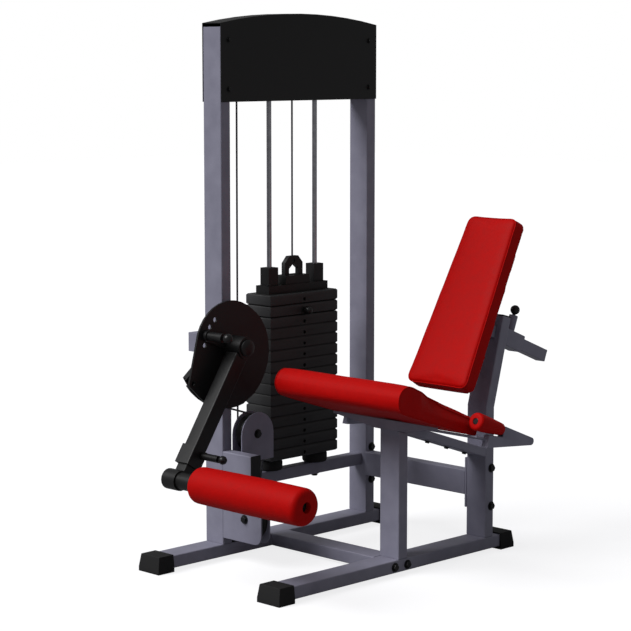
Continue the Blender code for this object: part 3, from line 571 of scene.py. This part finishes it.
def foamProfile(length, radius, tip, bore, ends, crown, rings):
    profile = [(0.0, bore), (0.0, radius - ends)]
    for k in range(1, 7):
        a = math.radians(90 * k / 6)
        profile.append((ends - ends * math.cos(a), radius - ends + ends * math.sin(a)))
    for k in range(1, rings):
        share = k / rings
        r = radius + (tip - radius) * share + crown * math.sin(math.pi * share)
        profile.append((ends + (length - 2 * ends) * share, r))
    for k in range(6, -1, -1):
        a = math.radians(90 * k / 6)
        profile.append((length - ends + ends * math.cos(a), tip - ends + ends * math.sin(a)))
    profile.append((length, bore))
    return profile


def gripLine(side):
    # where the grip's front end stands, and which way it runs
    low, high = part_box(f"grip_{side}")
    slope = math.radians(gripFoam["slope"])
    mouth = at(0, gripFoam["mouthY"], gripFoam["mouthZ"])
    return Vector(((low[0] + high[0]) / 2, mouth.y, mouth.z)), Vector((0, math.cos(slope), -math.sin(slope)))


def makeFoamPieces():
    low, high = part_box("roller_pad")
    middle = (Vector(low) + Vector(high)) / 2
    radius = (high[2] - low[2]) / 2
    start, end = Vector((low[0], middle.y, middle.z)), Vector((high[0], middle.y, middle.z))
    shape = foamProfile(end.x - start.x, radius, radius, rollerPad["bore"], rollerPad["ends"],
                        rollerPad["crown"], rollerPad["rings"])
    piece = turnedPad("roller_foam", start, end, shape, rollerPad["sides"])
    dress(piece, "roller", "red_foam", None, ("roller_pad",))
    g = gripFoam
    for side in ("left", "right"):
        start, way = gripLine(side)
        shape = foamProfile(g["length"], g["radius"], g["tip"], g["bore"], g["ends"], g["crown"], g["rings"])
        piece = turnedPad(f"grip_foam_{side}", start, start + way * g["length"], shape, g["sides"])
        dress(piece, "frame", "red_foam", None, (f"grip_{side}",))
    print("foam pieces turned")


def makeLiftCable():
    low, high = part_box("lift_cable")
    x, y = (low[0] + high[0]) / 2, (low[1] + high[1]) / 2
    deselectAll()
    bpy.ops.mesh.primitive_cylinder_add(vertices=16, radius=0.003, depth=high[2] - low[2],
                                        location=(x, y, (low[2] + high[2]) / 2))
    piece = bpy.context.object
    piece.name = "lift_rope"
    bpy.ops.object.mode_set(mode="EDIT")
    bpy.ops.mesh.select_all(action="SELECT")
    bpy.ops.mesh.bisect(plane_co=(x, y, (low[2] + high[2]) / 2), plane_no=(0, 0, 1))
    bpy.ops.object.mode_set(mode="OBJECT")
    settle(piece)
    smooth(piece, 40)
    dress(piece, "frame", "cable_steel", None, ("lift_cable",))
    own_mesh(piece)
    print("lift rope made")


# fasteners and caps

boltSizes = {
    "m12": dict(head=0.0105, tall=0.0075, washer=0.0145),
    "m8": dict(head=0.0070, tall=0.0050, washer=0.0095),
}


def boltShape(size):
    s = boltSizes[size]
    deselectAll()
    bpy.ops.mesh.primitive_cylinder_add(vertices=6, radius=s["head"], depth=s["tall"],
                                        location=(0, 0, s["tall"] / 2 + 0.0015))
    head = bpy.context.object
    bevel = head.modifiers.new("chamfer", "BEVEL")
    bevel.width, bevel.segments = s["tall"] * 0.18, 3
    bevel.limit_method = "ANGLE"
    bevel.angle_limit = math.radians(65)
    applyAll(head)
    bpy.ops.mesh.primitive_cylinder_add(vertices=32, radius=s["washer"], depth=0.0018,
                                        location=(0, 0, 0.0009))
    washer = bpy.context.object
    rim = washer.modifiers.new("rim", "BEVEL")
    rim.width, rim.segments = 0.0004, 2
    applyAll(washer)
    head.select_set(True)
    bpy.context.view_layer.objects.active = head
    bpy.ops.object.join()
    settle(head)
    return head


def placeBolts():
    spots = []
    for y in (0.0345, 0.6600):
        for z in (1.4640, 1.6150):
            spots.append((f"shroud_{len(spots)}", (0.0031, y, z), (1, 0, 0), "m8"))
            spots.append((f"shroud_{len(spots)}", (-0.0831, y, z), (-1, 0, 0), "m8"))
    for y in (0.2240, 0.2800):
        spots.append((f"crossbar_{y:.2f}", (0.5284, y, 0.019), (1, 0, 0), "m12"))
    for z in (0.1400, 0.2630):
        spots.append((f"seat_post_{z:.2f}", (0.5284, 0.6757, z), (1, 0, 0), "m12"))
        spots.append((f"end_plate_{z:.2f}", (0.4402, 0.6685, z + 0.012), (-1, 0, 0), "m12"))
    for z in (0.1514, 0.2613):
        spots.append((f"tower_{z:.2f}", (0.0002, 0.6800, z), (1, 0, 0), "m12"))
    for y in (0.4137, 0.5034, 0.5895):
        spots.append((f"beam_{y:.2f}", (0.4884, y, beamUnder(y)), (0, -0.317, -0.948), "m8"))
    spots.append(("upper_pulley", (0.0456, 0.1085, 0.3854), (1, 0, 0), "m12"))
    spots.append(("guide_front", (0.0990, -0.0001, 0.1360), (0, -1, 0), "m12"))
    spots.append(("guide_back", (0.0990, 0.0401, 0.1360), (0, 1, 0), "m12"))
    for y in (0.2435, 0.4485):
        spots.append((f"rod_nut_{y:.2f}", (-0.0400, y, 0.1998), (0, 0, -1), "m12"))
    spots.append(("stack_head", (-0.0200, 0.2230, 0.8386), (0, 0, 1), "m8"))
    for name, place, way, size in spots:
        piece = boltShape(size)
        piece.name = "bolt_" + name
        turn = Vector((0, 0, 1)).rotation_difference(Vector(way)).to_matrix().to_4x4()
        piece.data.transform(Matrix.Translation(at(*place)) @ turn)
        smooth(piece, 40)
        body = "stack" if name == "stack_head" else "frame"
        dress(piece, body, "black_plastic" if body == "frame" else "black_paint", "blackBolt")
    print("bolts placed:", len(spots))


beamFace = {"y": 0.2762, "z": 0.4258, "slope": 18.5}  # a point on the seat beam's underside


def beamUnder(y):
    return beamFace["z"] - math.tan(math.radians(beamFace["slope"])) * (y - beamFace["y"])


def tubeCap(name, centre, size, way, body, thick=0.004, finish="mouldedPlastic"):
    # moulded insert with a rounded face over a tube's end
    deselectAll()
    bpy.ops.mesh.primitive_cube_add(size=1, location=(0, 0, thick / 2))
    piece = bpy.context.object
    piece.name = name
    piece.scale = (size[0], size[1], thick)
    settle(piece)
    bpy.ops.object.mode_set(mode="EDIT")
    bpy.ops.mesh.select_all(action="SELECT")
    bpy.ops.mesh.bevel(offset=0.0018, segments=3, affect="EDGES")
    bpy.ops.object.mode_set(mode="OBJECT")
    way = Vector(way).normalized()
    side = Vector((1, 0, 0)) if abs(way.x) < 0.5 else Vector((0, 1, 0))
    third = way.cross(side)
    turn = Matrix((side, third, way)).transposed().to_4x4()
    piece.data.transform(Matrix.Translation(at(*centre)) @ turn)
    smooth(piece, 40)
    dress(piece, body, "black_plastic", finish)


guideWheelSize = {"centre": (0.0990, 0.020, 0.136), "radius": 0.067, "groove": 0.058, "half": 0.0145,
                  "cuts": (-0.0095, 0.0, 0.0095)}


def guideWheel():
    # moulded pulley between the block's cheeks, turned about the Y axis
    w = guideWheelSize
    deselectAll()
    bpy.ops.mesh.primitive_cylinder_add(vertices=64, radius=w["radius"], depth=2 * w["half"],
                                        location=(0, 0, 0), end_fill_type="NGON")
    piece = bpy.context.object
    piece.name = "guide_wheel"
    bpy.ops.object.mode_set(mode="EDIT")
    for z in w["cuts"]:
        bpy.ops.mesh.select_all(action="SELECT")
        bpy.ops.mesh.bisect(plane_co=(0, 0, z), plane_no=(0, 0, 1))
    bpy.ops.object.mode_set(mode="OBJECT")
    for vertex in piece.data.vertices:
        vertex.select = abs(vertex.co.z) < 0.001
    bpy.ops.object.mode_set(mode="EDIT")
    share = w["groove"] / w["radius"]
    bpy.ops.transform.resize(value=(share, share, 1))
    bpy.ops.object.mode_set(mode="OBJECT")
    piece.data.transform(Matrix.Translation(at(*w["centre"])) @ Matrix.Rotation(math.radians(90), 4, "X"))
    smooth(piece, 35)
    dress(piece, "frame", "black_plastic")


def placePlugs():
    # dark bush in the front end of each grip
    for side in ("left", "right"):
        start, way = gripLine(side)
        deselectAll()
        bpy.ops.mesh.primitive_cylinder_add(vertices=32, radius=0.0100, depth=0.006, location=(0, 0, 0.0048))
        plug = bpy.context.object
        plug.name = f"grip_plug_{side}"
        rim = plug.modifiers.new("rim", "BEVEL")
        rim.width, rim.segments, rim.limit_method = 0.0015, 3, "ANGLE"
        applyAll(plug)
        settle(plug)
        turn = Vector((0, 0, 1)).rotation_difference(way).to_matrix().to_4x4()
        plug.data.transform(Matrix.Translation(start) @ turn)
        smooth(plug, 40)
        dress(plug, "frame", "black_plastic")


def placeCaps():
    placePlugs()
    # the black cap on the upper stub's end is a dark piece put over an end face that lies in deep shade:
    # painted shade
    tubeCap("upper_stub_cap_painted_shade", (0.1272, 0.020, 0.298), (0.040, 0.080), (1, 0, 0), "frame")
    guideWheel()
    lean = math.radians(15.5)
    tubeCap("cap_seat_post", (0.4884, 0.7467, 0.7422), (0.080, 0.040),
            (0, math.sin(lean), math.cos(lean)), "frame")
    slope = math.radians(18.5)
    tubeCap("cap_seat_beam", (0.4884, 0.2276, 0.4573), (0.080, 0.028), (0, -math.cos(slope), math.sin(slope)),
            "frame", 0.003)
    drop = math.radians(21.8)
    tubeCap("cap_slide", (0.4884, 0.9701, 0.5928), (0.040, 0.040), (0, math.cos(drop), -math.sin(drop)),
            "backrest", 0.003)
    print("tube ends capped, grips plugged")


setUpStudio()
refineNodes()
makeFoamPieces()
makeCushions()
makeLiftCable()
placeBolts()
placeCaps()
deselectAll()
